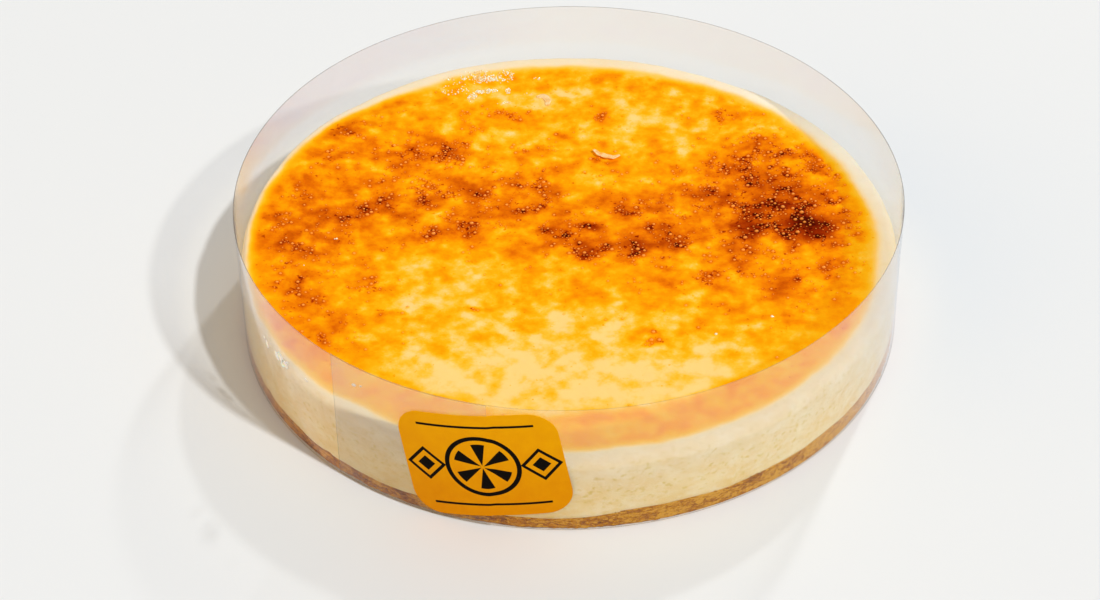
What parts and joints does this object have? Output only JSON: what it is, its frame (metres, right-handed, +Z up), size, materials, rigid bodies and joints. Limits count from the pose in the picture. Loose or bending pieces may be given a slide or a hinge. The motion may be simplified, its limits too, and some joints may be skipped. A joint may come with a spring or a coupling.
{
  "type": "burnt cheesecake in a clear cake collar",
  "caption": "Round flat cheesecake with a scorched top on a biscuit base, wrapped in a tall clear collar that is closed by a rounded sticker.",
  "frame": {"origin": "middle of the biscuit base's flat underside", "axes": "+Z up through the cake's middle, -Y towards the front, where the collar's ends meet under the sticker"},
  "size_m": [0.2409, 0.2433, 0.0529],
  "materials": {
    "biscuit": "pressed biscuit crumb, rough and dry, golden brown",
    "custard": "baked cream cheese custard, top scorched from amber to dark brown, sides pale cream, softly moist",
    "clear_film": "clear glossy plastic film",
    "label_paper": "coated amber sticker with a dark plain motif"
  },
  "bodies": {
    "root": {"biscuit_base": "biscuit", "custard": "custard", "acetate_collar": "clear_film", "collar_label": "label_paper"}
  },
  "joints": []
}
